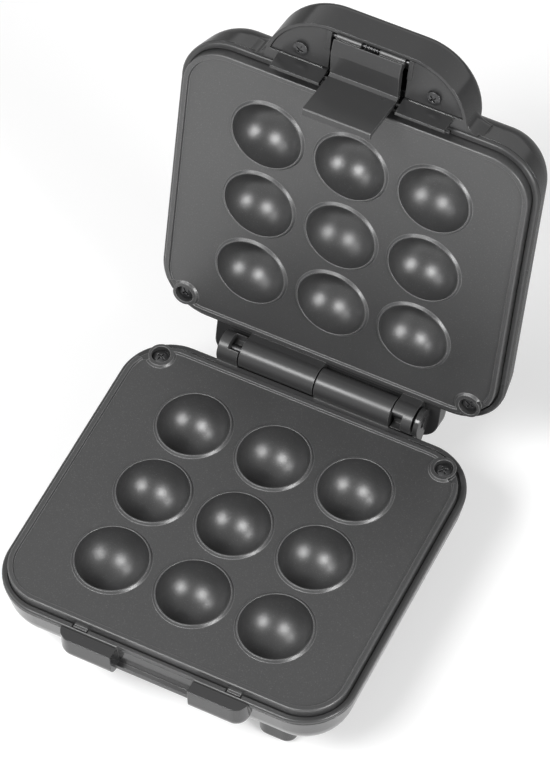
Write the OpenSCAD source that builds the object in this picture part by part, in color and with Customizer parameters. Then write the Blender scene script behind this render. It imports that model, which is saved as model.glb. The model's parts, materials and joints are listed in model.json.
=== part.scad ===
// Cake pop maker with nine cups in each plate.
// Built from the hinge: y runs back from the hinge axis and z up from the plane where
// the plates meet. Each half is modelled hanging below that plane. The lid is the same
// half turned over, then swung open about the hinge.

/* [Cups] */
// Inside radius of a cup where the plates meet
cup_r = 19; // [15:0.5:20]
// Metal left around a cup
cup_wall = 2; // [1.5:0.1:2.5]
// Spacing of the cups from side to side
pitch_x = 46; // [45:0.5:48]
// Spacing of the cups from front to back
pitch_y = 45.2; // [44.5:0.1:48]
// Cups in each direction
cups_each_way = 3; // [2:1:3]
// Slope of the raised ring around a cup, measured across
ring_slope = 1.1; // [0.6:0.1:1.5]
// Flat top of the raised ring around a cup
ring_top = 0.6; // [0.4:0.1:1]

/* [Plates] */
// Side to side size of a baking plate
plate_w = 188.8; // [184:0.2:194]
// Front to back size of a baking plate
plate_d = 169.2; // [166:0.2:172]
// Corner radius of a baking plate
plate_corner = 24; // [20:1:28]
// Thickness of the plate sheet
plate_sheet = 2; // [1.6:0.1:2.4]
// Drop from the lip to the floor of the plate
lip_h = 1.2; // [0.8:0.1:1.6]
// Width of the lip around the plate
lip_w = 2.6; // [2:0.1:3.5]
// Depth of the plate from its lip to the foot of its side wall
plate_skirt = 7; // [6.6:0.1:8]
// Distance from the hinge axis to the plate
hinge_to_plate = 13.1; // [12.6:0.1:15]
// Space left between the two plates when the lid is shut
shut_gap = 0.4; // [0.3:0.1:1]
// Screw place from the side edge and from the rear edge of a plate
plate_screw_in = [13.1, 7.9]; // [7:0.1:16]

/* [Casing] */
// How far the rim stands out past the plate at the sides
rim_side = 3.4; // [3.2:0.1:5]
// How far the rim stands out past the plate at the front
rim_front = 3.4; // [3.2:0.1:5]
// How far the rim stands out past the plate at the rear
rim_rear = 6.5; // [5.8:0.1:7]
// Drop from the meeting plane to the ledge around a plate
ledge_drop = 5.6; // [5:0.1:6]
// Thickness of the ledge
ledge_t = 2.6; // [2.4:0.1:3]
// Wall thickness of the moulded casings
wall = 2; // [1.8:0.1:2.4]
// Lean of the casing walls
draft = 10; // [8:0.5:12]
// Height of the plain leaning wall of the base
base_wall_h = 11.6; // [8:0.1:13]
// Height of the plain leaning wall of the lid
lid_wall_h = 11.6; // [9:0.1:13]
// Running gap between moulded parts that are pushed together
fit_gap = 0.2; // [0.1:0.05:0.3]

/* [Handle] */
// Reach of the lid handle in front of the rim
handle_reach = 32.5; // [30:0.5:36]
// Straight part of the front edge of the handle
handle_straight = 43; // [40:1:50]
// Radius of the corners of the handle
handle_r = 34; // [32:0.5:36]
// Depth of the handle from the meeting plane
handle_h = 30; // [28:0.5:32]
// Rounding of the upper edge of the handle
handle_edge = 7; // [5:0.5:9]
// Radius where the handle flows into the casing
handle_flow = 9; // [7:0.5:11]
// Height of the rib that closes the gap in front of the plates
handle_rib_h = 3.5; // [2:0.1:4]
// Half the distance between the two screws of the handle cover
cover_screw_x = 36; // [32:0.5:39]

/* [Base front] */
// Width of the bulge on the front of the base
bulge_w = 105; // [100:1:110]
// Reach of the bulge in front of the rim
bulge_reach = 6.8; // [5:0.1:8]
// Depth of the bulge from the meeting plane
bulge_h = 24; // [24:0.5:27]
// Width of the recess for the latch
recess_w = 43.2; // [42:0.2:46]
// Reach of the catch bar in front of the recess
catch_reach = 2.7; // [2:0.1:3]

/* [Latch] */
// Width of the latch clip
clip_w = 36.8; // [34:0.2:38]
// Height of the latch leg below its grip
clip_leg = 31; // [31:0.2:33]
// Thickness of the latch leg
clip_t = 2.4; // [2:0.1:2.8]
// Radius of the latch pin
latch_pin_r = 1.25; // [1:0.05:1.5]
// Wire radius of the latch spring
spring_wire = 0.35; // [0.3:0.05:0.4]
// Turns of the latch spring
spring_turns = 5; // [3:1:6]

/* [Hinge] */
// Radius of the hinge barrels
barrel_r = 8; // [7.5:0.1:8.5]
// Length of a long barrel
barrel_long = 42.7; // [40:0.1:45]
// Length of a short barrel
barrel_short = 11.7; // [11:0.1:14]
// Space between one barrel and the next
barrel_gap = 0.8; // [0.6:0.1:1.2]
// Radius of the hinge pin
hinge_pin_r = 2.5; // [2:0.1:3]
// Radial clearance of a pin that turns
pin_clear = 0.06; // [0.03:0.01:0.1]
// Drop of the hinge axis below the meeting plane
hinge_drop = 1.4; // [1:0.1:1.8]
// Width of the hump that covers the hinge
hump_w = 129; // [127:1:134]
// Reach of the hump behind the hinge axis
hump_reach = 18.5; // [17:0.5:20]
// Angle of the lid when it rests open
open_angle = 104.4; // [100:0.1:106]

/* [Legs] */
// Height of the meeting plane above the table
table_to_plates = 65; // [60:1:70]
// Width of a leg
leg_w = 21; // [19:0.5:23]
// Half the distance between the legs from side to side
leg_x = 57; // [54:0.5:60]
// Legs behind the front rim
leg_front = 27.2; // [26:0.2:34]
// Legs in front of the rear rim
leg_rear = 15; // [14:0.2:26]
// Radius of a rubber foot
foot_r = 7; // [5:0.1:7.5]
// How far a rubber foot stands below its leg
foot_out = 1.5; // [1:0.1:2]

/* [Heater] */
// Radius of the tube heater
heater_r = 3.3; // [3:0.1:3.4]
// Radius of the heater bends
heater_bend = 12; // [10:0.5:14]
// Thickness of the heat shield
shield_t = 0.8; // [0.6:0.1:1]
// Radius of the thermostat
thermostat_r = 7.5; // [7:0.1:8]

/* [Hidden] */
$fn = 48;
eps = 0.01;

// Colours
gloss_black = [0.05, 0.05, 0.055];
satin_black = [0.13, 0.13, 0.14];
coated = [0.23, 0.23, 0.24];
steel = [0.62, 0.63, 0.65];
bright_alloy = [0.78, 0.78, 0.77];
rubber = [0.08, 0.08, 0.08];
ceramic = [0.86, 0.84, 0.78];

// Plate and cup places
plate_y = -(hinge_to_plate + plate_d / 2);
cup_spread = (cups_each_way - 1) / 2;
cup_xs = [for (i = [0 : cups_each_way - 1]) (i - cup_spread) * pitch_x];
cup_ys = [for (i = [0 : cups_each_way - 1]) plate_y + (i - cup_spread) * pitch_y];
plate_screws = [for (s = [-1, 1])
    [s * (plate_w / 2 - plate_screw_in[0]), plate_y + plate_d / 2 - plate_screw_in[1]]];
pocket_r = 5;
pocket_depth = 4.2;

// Rim of both casings
rim_w = plate_w + 2 * rim_side;
rim_y0 = plate_y - plate_d / 2 - rim_front;
rim_y1 = plate_y + plate_d / 2 + rim_rear;
rim_d = rim_y1 - rim_y0;
rim_y = (rim_y0 + rim_y1) / 2;
rim_r = plate_corner + rim_side + 0.6;
rim_edge = 1.2;
shell_top = -(ledge_drop + ledge_t + fit_gap);

// Frame under a plate
plate_gap = 0.4;
ledge_in = rim_side - plate_gap;
shelf_top = -(plate_skirt + fit_gap);
shelf_t = 2.6;
shelf_low = shelf_top - shelf_t;
shelf_open_w = plate_w - 37;
heater_cup_lap = 0.2;
heater_y0 = cup_ys[0] - cup_r - cup_wall - heater_r + heater_cup_lap;
shelf_open_y0 = heater_y0 - heater_r - 3;
shelf_open_y1 = plate_y + plate_d / 2 - 14;
case_screw_x = plate_w / 2 - 12.6;
case_screw_out = 35;
case_screw_ys = [plate_y - case_screw_out, plate_y + case_screw_out];
case_screw_long = 15;
boss_r = 4;
screw_r = 1.6;
post_h = 8;
post_z = shelf_low - post_h - fit_gap;
case_screw_seat = 8;
head_r = 3.5;
head_h = 2;
head_taper = 0.7;
head_slot_w = 0.8;
head_slot_depth = 0.8;
plate_head_r = 4.3;
plate_head_h = 2.2;
plate_screw_long = 19;
cover_screw_long = 12;
thread_gap = 0.05;

// Handle and front of the base
handle_y0 = rim_y0 - handle_reach;
handle_w = handle_straight + 2 * handle_r;
handle_yc = handle_y0 + handle_r;
deck_z = -(ledge_drop + 0.5);
cover_z = -7;
cover_t = 2;
cover_y1 = rim_y0 - 7;
cover_screw_y = rim_y0 - 12.9;
bulge_y0 = rim_y0 - bulge_reach;
bulge_corner = 7.5;
bulge_edge = 7;
bulge_flow = 4;
recess_y = rim_y0 + 1.2;
catch_y0 = recess_y - catch_reach;
catch_low = -(bulge_h - 1);
catch_t = 2.8;

// Latch, in the axes of the shut lid as it stands over the base
pin_y = handle_y0 + 5.8;
pin_z = 9;
knuckle_r = 3.2;
knuckle_gap = 10;
well_z = pin_z + 4.4;
ear_w = 2.4;
clip_ear_x = clip_w / 2 + 2.4;
clip_front = handle_y0 + 3.7;
clip_crease = [handle_y0 + 11.5, 1.5];
clip_corner = [rim_y0 - 6, 4.4];
clip_low = clip_corner[1] - clip_leg - 0.7;
tooth_y = catch_y0 - 0.8;
tooth_h = 2;

// Hinge
barrel_ends = barrel_gap / 2 + barrel_long + barrel_gap;
own_barrels = [[-barrel_ends - barrel_short, -barrel_ends],
    [barrel_gap / 2, barrel_gap / 2 + barrel_long]];
barrel_reach = barrel_ends + barrel_short;
barrel_clear = 0.6;
ear_in = barrel_reach + 1.4;
ear_out = ear_in + 2.6;
lug_y = 4.5;
hump_corner = 12;
hump_edge = 10;
hump_h = 26;
lamp_x = 9;
lamp_y = rim_y0 + 38;
lamp_r = 3;
hinge_in_lid = hinge_drop + shut_gap;

// Heater and shield
heater_z = -10;
heater_x = pitch_x * 0.5;
heater_y1 = plate_y + plate_d / 2 - 22;
cold_pin = 5;
rib_w = 5;
shield_z = -(cup_r + cup_wall + 4);
shield_rise = shelf_low - fit_gap - shield_z;
shield_w = shelf_open_w - 3;
thermostat_gap = 2.1;

// Legs and the way in for the cord
leg_ys = [rim_y0 + leg_front, rim_y1 - leg_rear];
leg_low = -(table_to_plates - foot_out);
leg_top = shell_top - base_wall_h - 2;
leg_corner = 6;
leg_edge = 3.5;
foot_sunk = 1.5;
inlet_x = -36;
inlet_z = -29;
inlet_boss_r = 8.4;
inlet_end = rim_y1 + 0.6;
inlet_neck_r = 5.1;
cord_r = 3.3;

// Furthest points front and back with the lid open, so that the origin is in the middle
function bowl_r(h) = (rim_r - h * tan(draft)) / cos(draft);
function bowl_z(h) = shell_top - h + bowl_r(h) * sin(draft);
base_low = bowl_z(base_wall_h) - bowl_r(base_wall_h);
lid_low = bowl_z(lid_wall_h) - bowl_r(lid_wall_h);
function opened_y(y, z) = y * cos(open_angle) + (z + shut_gap + hinge_drop) * sin(open_angle);
bowl_back = opened_y(rim_y0 + rim_r, -bowl_z(lid_wall_h)) + bowl_r(lid_wall_h);
handle_back = opened_y(handle_y0 + handle_edge, handle_h - handle_edge) + handle_edge;
back_reach = max(bowl_back, handle_back);
mid_y = (bulge_y0 + back_reach) / 2;

// Points along an arc
function arc(c, r, a0, a1, n = 8) =
    [for (i = [0 : n]) c + r * [cos(a0 + (a1 - a0) * i / n), sin(a0 + (a1 - a0) * i / n)]];

// A flat outline with round corners
module rounded(w, d, r) {
    square([w - 2 * r, d], center = true);
    if (d > 2 * r)
        square([w, d - 2 * r], center = true);
    for (sx = [-1, 1], sy = [-1, 1])
        translate([sx * (w / 2 - r), sy * (d / 2 - r)])
            circle(r);
}

// Carries an edge profile, drawn outwards from the corner axis, around a rectangle
module around(w, d, r, low = 0, high = 0) {
    for (q = [0 : 3]) {
        sx = (q == 0 || q == 3) ? 1 : -1;
        sy = q < 2 ? 1 : -1;
        translate([sx * (w / 2 - r), sy * (d / 2 - r), 0])
            rotate([0, 0, 90 * q])
                rotate_extrude(angle = 90)
                    children();
    }
    if (w > 2 * r)
        rotate([90, 0, 90])
            linear_extrude(height = w - 2 * r, center = true)
                both_edges(d / 2 - r, low, high)
                    children();
    if (d > 2 * r)
        rotate([90, 0, 0])
            linear_extrude(height = d - 2 * r, center = true)
                both_edges(w / 2 - r, low, high)
                    children();
}

module both_edges(half, low, high) {
    translate([half, 0])
        children();
    mirror([1, 0])
        translate([half, 0])
            children();
    if (high > low && half > 0)
        translate([-half, low])
            square([2 * half, high - low]);
}

// Edge profile of a block whose lower edge is rounded
module round_edge(r, low, high, edge) {
    translate([0, low + edge])
        square([r, high - low - edge]);
    translate([0, low])
        square([r - edge, edge + eps]);
    intersection() {
        translate([r - edge, low + edge])
            circle(edge);
        translate([r - edge, low])
            square([edge, edge + eps]);
    }
}

module round_block(w, d, r, low, high, edge) {
    around(w, d, r, low, high)
        round_edge(r, low, high, edge);
}

// Edge profile of a casing: a leaning wall that runs into a round bottom
module bowl_edge(t, h, top) {
    r = bowl_r(h) - t;
    c = bowl_z(h);
    bend_z = c - r * sin(draft);
    bend_r = r * cos(draft);
    polygon([[0, bend_z - eps], [bend_r, bend_z - eps], [bend_r, bend_z],
        [bend_r + (top - bend_z) * tan(draft), top], [0, top]]);
    intersection() {
        translate([0, c])
            circle(r, $fn = 96);
        translate([0, c - r])
            square([r, bend_z - c + r]);
    }
}

module bowl(t, h, top) {
    translate([0, rim_y, 0])
        around(rim_w, rim_d, rim_r, bowl_z(h) - bowl_r(h) + t, top)
            bowl_edge(t, h, top);
}

module at(x, y, z = 0) {
    translate([x, y, z])
        children();
}

// A bar or a bore along X
module along_x(x0, x1, y, z, r) {
    translate([x0, y, z])
        rotate([0, 90, 0])
            cylinder(h = x1 - x0, r = r);
}

// A block between two corners
module box(a, b) {
    translate(a)
        cube(b - a);
}

// Baking plate

module plate_edge() {
    r = plate_corner;
    polygon(concat(
        [[0, -lip_h - plate_sheet], [r - 2.4, -lip_h - plate_sheet], [r - 2.2, -plate_skirt],
            [r - 0.2, -plate_skirt]],
        arc([r - 0.8, -0.8], 0.8, 0, 90, 4),
        [[r - lip_w, 0], [r - lip_w - 0.6, -lip_h], [0, -lip_h]]));
}

module half_plate() {
    difference() {
        union() {
            translate([0, plate_y, 0])
                around(plate_w, plate_d, plate_corner, -lip_h - plate_sheet, -lip_h)
                    plate_edge();
            for (x = cup_xs, y = cup_ys) {
                at(x, y, -lip_h)
                    cylinder(h = lip_h, r1 = cup_r + ring_top + ring_slope, r2 = cup_r + ring_top);
                intersection() {
                    at(x, y)
                        sphere(cup_r + cup_wall);
                    at(x, y, -cup_r - cup_wall)
                        cylinder(h = cup_r + cup_wall - lip_h, r = cup_r + cup_wall);
                }
            }
            for (p = plate_screws) {
                at(p[0], p[1], -lip_h)
                    cylinder(h = lip_h, r1 = pocket_r + lip_w + 0.4, r2 = pocket_r + lip_w - 0.6);
                at(p[0], p[1], -plate_skirt)
                    cylinder(h = plate_skirt - lip_h, r = pocket_r + 1.4);
            }
            heater_ribs();
            for (s = [-1, 1])
                box([s * 43 - 3.6, plate_y - plate_d / 2 - 1.5, -plate_skirt],
                    [s * 43 + 3.6, plate_y - plate_d / 2 + 1.5, -plate_skirt + 1.2]);
        }
        for (x = cup_xs, y = cup_ys)
            at(x, y)
                sphere(cup_r);
        for (p = plate_screws) {
            at(p[0], p[1], -pocket_depth)
                cylinder(h = 10, r = pocket_r);
            at(p[0], p[1], -20)
                cylinder(h = 20, r = screw_r + 0.35);
            // The lip is left off outside each screw
            difference() {
                at(sign(p[0]) * (plate_w / 2 - 4.9), plate_y + plate_d / 2 - 2.4, -2.6)
                    cylinder(h = 10, r = 11.5);
                at(p[0], p[1], -10)
                    cylinder(h = 20, r = pocket_r + 1.5);
            }
        }
    }
}

// Ribs cast on the plate where the heater lies
module heater_ribs() {
    low = heater_z + heater_r + 0.1;
    high = -lip_h - plate_sheet + eps;
    for (s = [-1, 1])
        box([s * heater_x - rib_w / 2, heater_y0 + heater_bend, low],
            [s * heater_x + rib_w / 2, heater_y1, high]);
    box([-heater_x + heater_bend, heater_y0 - rib_w / 2, low],
        [heater_x - heater_bend, heater_y0 + rib_w / 2, high]);
    for (s = [-1, 1])
        at(s * (heater_x - heater_bend), heater_y0 + heater_bend, low)
            rotate([0, 0, s > 0 ? 270 : 180])
                rotate_extrude(angle = 90)
                    translate([heater_bend - rib_w / 2, 0])
                        square([rib_w, high - low]);
}

module half_heater() {
    color(steel) {
        for (s = [-1, 1]) {
            at(s * heater_x, heater_y1, heater_z)
                rotate([90, 0, 0])
                    cylinder(h = heater_y1 - heater_y0 - heater_bend, r = heater_r);
            at(s * (heater_x - heater_bend), heater_y0 + heater_bend, heater_z)
                rotate([0, 0, s > 0 ? 270 : 180])
                    rotate_extrude(angle = 90)
                        translate([heater_bend, 0])
                            circle(heater_r);
            at(s * heater_x, heater_y1, heater_z)
                rotate([-90, 0, 0])
                    cylinder(h = cold_pin, r = 1.5);
        }
        along_x(-heater_x + heater_bend, heater_x - heater_bend, heater_y0, heater_z, heater_r);
    }
}

// Pan of thin sheet below the cups, hung under the shelf of the frame
module half_shield() {
    y0 = shelf_open_y0 + 1.5;
    y1 = shelf_open_y1 - 1.5;
    r = 9;
    color(bright_alloy)
        translate([0, (y0 + y1) / 2, 0])
            difference() {
                union() {
                    round_block(shield_w, y1 - y0, r, shield_z - shield_t, shelf_low - fit_gap, 2);
                    translate([0, 0, shelf_low - fit_gap - shield_t])
                        linear_extrude(shield_t)
                            rounded(shield_w + 6, y1 - y0 + 6, r + 3);
                }
                round_block(shield_w - 2 * shield_t, y1 - y0 - 2 * shield_t, r - shield_t, shield_z,
                    0, 1.2);
            }
}

module plate_screw_set() {
    color(satin_black)
        for (p = plate_screws)
            screw(p[0], p[1], -pocket_depth, plate_screw_long, plate_head_r, plate_head_h);
}

// Screw pointing down from the underside of its head, with a cross in the head
module screw(x, y, z, long, r = head_r, h = head_h) {
    translate([x, y, z]) {
        difference() {
            cylinder(h = h, r1 = r, r2 = r - head_taper);
            for (a = [0, 90])
                rotate([0, 0, a])
                    translate([0, 0, h])
                        cube([r, head_slot_w, 2 * head_slot_depth], center = true);
        }
        translate([0, 0, -long])
            cylinder(h = long + eps, r = screw_r);
    }
}

// Frame that carries a plate and the hinge barrels. posts is true where the case screws
// come up from outside, and false where they go down through the shelf.
module half_frame(axis_z, posts) {
    difference() {
        union() {
            translate([0, rim_y, 0])
                around(rim_w, rim_d, rim_r)
                    ledge_edge();
            translate([0, rim_y, shelf_low])
                linear_extrude(shelf_t)
                    rounded(rim_w - 2 * wall - 1, rim_d - 2 * wall - 1, rim_r - wall - 0.5);
            // Rear band and the lugs under the barrels
            box([-barrel_reach, plate_y + plate_d / 2 + plate_gap, shelf_low],
                [barrel_reach, rim_y1, -ledge_drop]);
            for (b = own_barrels) {
                along_x(b[0], b[1], 0, axis_z, barrel_r);
                box([b[0], rim_y1 - 1, -ledge_drop - ledge_t],
                    [b[1], lug_y, axis_z]);
            }
            for (p = plate_screws)
                at(p[0], p[1], shelf_low - 11)
                    cylinder(h = 11 + eps, r = boss_r);
            if (posts)
                for (s = [-1, 1], y = case_screw_ys)
                    at(s * case_screw_x, y, shelf_low - post_h)
                        cylinder(h = post_h + eps, r = boss_r);
        }
        // Hole under the plate
        translate([0, (shelf_open_y0 + shelf_open_y1) / 2, -40])
            linear_extrude(60)
                rounded(shelf_open_w, shelf_open_y1 - shelf_open_y0, 10);
        // Opening for the plate
        translate([0, plate_y, shelf_top])
            linear_extrude(20)
                rounded(plate_w + 2 * plate_gap, plate_d + 2 * plate_gap, plate_corner + plate_gap);
        for (s = [-1, 1])
            box([s * 43 - 4.6, plate_y - plate_d / 2 - 2.3, shelf_top],
                [s * 43 + 4.6, plate_y, 10]);
        // Room for the barrels of the other half
        for (b = own_barrels)
            along_x(-b[1] - barrel_gap, -b[0] + barrel_gap, 0, axis_z, barrel_r + barrel_clear);
        // Room for the latch
        box([-recess_w / 2, rim_y0 - 1, -20], [recess_w / 2, recess_y, 10]);
        along_x(-80, 80, 0, axis_z, hinge_pin_r + pin_clear);
        // Window that shows the pin
        box([-barrel_ends - 6.3, -5.2, axis_z + 1], [-barrel_ends + 1, 5.2, axis_z + 20]);
        for (p = plate_screws)
            at(p[0], p[1], shelf_low - 12)
                cylinder(h = 30, r = screw_r + thread_gap);
        for (s = [-1, 1], y = case_screw_ys)
            at(s * case_screw_x, y, shelf_low - 9)
                cylinder(h = 30, r = screw_r + (posts ? thread_gap : 0.3));
    }
}

module ledge_edge() {
    low = -ledge_drop - ledge_t;
    polygon(concat([[rim_r - ledge_in, low], [rim_r - 0.3, low], [rim_r, low + 0.3]],
        arc([rim_r - rim_edge, -ledge_drop - rim_edge], rim_edge, 0, 90, 5),
        [[rim_r - ledge_in, -ledge_drop]]));
}

// Cut in a casing where the frame brings the barrels out at the rear
module hinge_cut() {
    reach = barrel_reach + 0.4;
    box([-reach, rim_y1 - wall - 3, shelf_low - fit_gap], [reach, rim_y1 + fit_gap, 60]);
    box([-reach, rim_y1, shell_top], [reach, 30, 60]);
}

// Base

// The legs, and the hollows in them
module legs() {
    for (s = [-1, 1], y = leg_ys)
        translate([s * leg_x, y, 0])
            round_block(leg_w, leg_w, leg_corner, leg_low, leg_top, leg_edge);
}

module leg_hollows() {
    for (s = [-1, 1], y = leg_ys)
        translate([s * leg_x, y, leg_low + foot_sunk + wall])
            linear_extrude(leg_top - leg_low - foot_sunk - 3 * wall)
                rounded(leg_w - 2 * wall, leg_w - 2 * wall, leg_corner - wall);
}

module base_shell() {
    color(gloss_black) {
        difference() {
            union() {
                difference() {
                    union() {
                        bowl(0, base_wall_h, shell_top);
                        front_box(0);
                        legs();
                        at(inlet_x, inlet_end, inlet_z)
                            rotate([90, 0, 0])
                                cylinder(h = 20, r = inlet_boss_r);
                    }
                    bowl(wall, base_wall_h, 0);
                    difference() {
                        front_box(wall);
                        box([-recess_w / 2 - wall, bulge_y0 - 1, -60],
                            [recess_w / 2 + wall, recess_y + wall, 0]);
                    }
                    leg_hollows();
                    // Flat back of the recess
                    box([-recess_w / 2, bulge_y0 - 10, -bulge_h],
                        [recess_w / 2, recess_y, deck_z + eps]);
                }
                for (s = [-1, 1], y = case_screw_ys)
                    case_tube(s, y, base_wall_h, post_z, boss_r + 1.2);
                for (s = [-1, 1])
                    lid_stop(s * 20);
                // Catch bar that the latch hooks under
                box([-recess_w / 2 - eps, catch_y0, catch_low],
                    [recess_w / 2 + eps, recess_y + eps, catch_low + catch_t]);
                // Shelf that closes the gap under the barrels
                box([-barrel_reach, rim_y1 - wall - 1, shell_top - 4.6],
                    [barrel_reach, 2, shell_top - 2.6]);
            }
            hinge_cut();
            box([-rim_w, rim_y0 - fit_gap, shell_top], [rim_w, 40, 20]);
            box([-recess_w / 2, bulge_y0 - 10, deck_z - eps], [recess_w / 2, recess_y, 20]);
            for (s = [-1, 1], y = case_screw_ys) {
                at(s * case_screw_x, y, base_low - 5)
                    cylinder(h = 60, r = screw_r + 0.3);
                at(s * case_screw_x, y, base_low - 5)
                    cylinder(h = 5 + post_z - case_screw_seat - base_low, r = head_r + 0.4);
            }
            at(inlet_x, inlet_end + 1, inlet_z)
                rotate([90, 0, 0])
                    cylinder(h = 40, r = inlet_neck_r + 0.1);
            for (s = [-1, 1], y = leg_ys)
                at(s * leg_x, y, leg_low - 1)
                    cylinder(h = foot_sunk + 1, r = foot_r + 0.1);
        }
        hinge_ear();
    }
}

// Tube or post for a case screw, ending in the curved wall at the side of a casing
module case_tube(s, y, wall_h, top, r) {
    intersection() {
        at(s * case_screw_x, y, -60)
            cylinder(h = 60 + top, r = r);
        at(s * (rim_w / 2 - rim_r), y + 15, bowl_z(wall_h))
            rotate([90, 0, 0])
                cylinder(h = 30, r = bowl_r(wall_h) - wall / 2, $fn = 96);
    }
}

// Ear beside the short barrel of the lid, standing on the rear wall of the base
module hinge_ear() {
    translate([ear_in, 0, 0])
        rotate([90, 0, 90])
            linear_extrude(ear_out - ear_in)
                difference() {
                    union() {
                        translate([0, -hinge_drop])
                            circle(barrel_r);
                        polygon([[rim_y1 + fit_gap, -hinge_drop - 5.5], [rim_y1 + fit_gap, shell_top],
                            [rim_y1 - wall, shell_top - 4], [rim_y1 - wall - 2.6, shell_top - 16],
                            [rim_y1 - 2.6, shell_top - 13], [barrel_r - 1.2, -hinge_drop - 5]]);
                    }
                    translate([0, -hinge_drop])
                        circle(hinge_pin_r + pin_clear);
                }
}

// The bulge on the front of the base with the recess between its two halves
module front_box(t) {
    depth = 40;
    difference() {
        translate([0, bulge_y0 + t + depth / 2, 0])
            round_block(bulge_w - 2 * t, depth, bulge_corner - t * 0.5, -bulge_h + t, deck_z - t,
                bulge_edge - t);
        box([-recess_w / 2, bulge_y0 - 1, -60], [recess_w / 2, recess_y, catch_low - 1]);
        if (t == 0)
            box([-recess_w / 2, bulge_y0 - 1, -60], [recess_w / 2, recess_y, 10]);
    }
}

// Rib on the back wall of the base that meets the edge of the open hump
module lid_stop(x) {
    face = ledge_drop + 0.3 + hinge_in_lid;
    function opened(p) = [p[0] * cos(open_angle) + p[1] * sin(open_angle),
        -p[0] * sin(open_angle) + p[1] * cos(open_angle) - hinge_drop];
    near = opened([hump_reach - wall - 1, face - 0.3]);
    far = opened([hump_reach, face - 0.3]);
    translate([x - 1.5, 0, 0])
        rotate([90, 0, 90])
            linear_extrude(3)
                polygon([[rim_y1 - 4, near[1] + 2], near, far, [rim_y1 - 7, far[1] - 6]]);
}

module base_frame() {
    color(satin_black)
        half_frame(-hinge_drop, true);
}

module lower_plate() {
    color(coated)
        half_plate();
}

module thermostat() {
    x = -(shield_w / 2 - shield_t - thermostat_r - thermostat_gap);
    y = cup_ys[0] + pitch_y / 2;
    top = -lip_h - plate_sheet - fit_gap;
    color(ceramic) {
        at(x, y, top - 6)
            cylinder(h = 6, r = thermostat_r);
        at(x, y, top - 9)
            cylinder(h = 3 + eps, r = thermostat_r - 2);
        for (s = [-1, 1])
            box([x + s * 3 - 0.4, y - 3, top - 14], [x + s * 3 + 0.4, y + 3, top - 9 + eps]);
    }
}

module terminal_block() {
    floor_z = base_low + wall;
    y = leg_ys[1] - 22;
    color(ceramic)
        difference() {
            box([inlet_x - 16, y - 8, floor_z], [inlet_x + 16, y + 8, floor_z + 9]);
            for (i = [-1, 0, 1]) {
                at(inlet_x + i * 10, y, floor_z + 3)
                    cylinder(h = 10, r = 2.4);
                at(inlet_x + i * 10, y + 10, floor_z + 4.5)
                    rotate([90, 0, 0])
                        cylinder(h = 20, r = 1.8);
            }
        }
}

// Rubber bush in the rear wall, with nothing through it
module cord_inlet() {
    color(rubber)
        at(inlet_x, inlet_end, inlet_z)
            rotate([90, 0, 0])
                rotate_extrude()
                    polygon([[cord_r, -2.2], [inlet_neck_r + 1.6, -2.2], [inlet_neck_r + 2.2, -1.6],
                        [inlet_neck_r + 2.2, -0.2], [inlet_neck_r, -0.2], [inlet_neck_r, 10],
                        [cord_r, 10]]);
}

module base_case_screws() {
    color(steel)
        for (s = [-1, 1], y = case_screw_ys)
            translate([s * case_screw_x, y, post_z - case_screw_seat])
                rotate([180, 0, 0])
                    screw(0, 0, 0, case_screw_long);
}

module rubber_feet() {
    color(rubber)
        for (s = [-1, 1], y = leg_ys)
            at(s * leg_x, y, -table_to_plates)
                cylinder(h = foot_out + foot_sunk, r1 = foot_r - 0.6, r2 = foot_r);
}

module hinge_pin() {
    color(steel)
        along_x(-barrel_reach - 1, ear_out - 0.6, 0, -hinge_drop, hinge_pin_r);
}

// Lid, drawn hanging and then turned over

module handle(t, top) {
    translate([0, handle_yc, 0])
        round_block(handle_w - 2 * t, 2 * (handle_r - t), handle_r - t, -handle_h + t, top,
            handle_edge - t);
}

// Where the handle flows into the front of the lid
module handle_flows() {
    dy = rim_y0 - handle_flow - handle_yc;
    dx = sqrt(pow(handle_r + handle_flow, 2) - dy * dy);
    for (s = [-1, 1])
        intersection() {
            at(s * (handle_straight / 2 + dx), rim_y0 - handle_flow)
                rotate_extrude()
                    translate([2 * handle_flow, 0])
                        mirror([1, 0])
                            round_edge(handle_flow, -handle_h + 6, shell_top + 2, handle_edge);
            linear_extrude(100, center = true)
                polygon([[s * handle_straight / 2, handle_yc],
                    [s * (handle_straight / 2 + dx), rim_y0 - handle_flow],
                    [s * (handle_straight / 2 + dx), rim_y0 + 8],
                    [s * handle_straight / 2, rim_y0 + 8]]);
        }
}

module hump(t) {
    depth = 50;
    translate([0, hump_reach - t - depth / 2, 0])
        round_block(hump_w - 2 * t, depth, hump_corner - t, -hump_h + t,
            t > 0 ? 10 : -ledge_drop, hump_edge - t);
}

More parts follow.
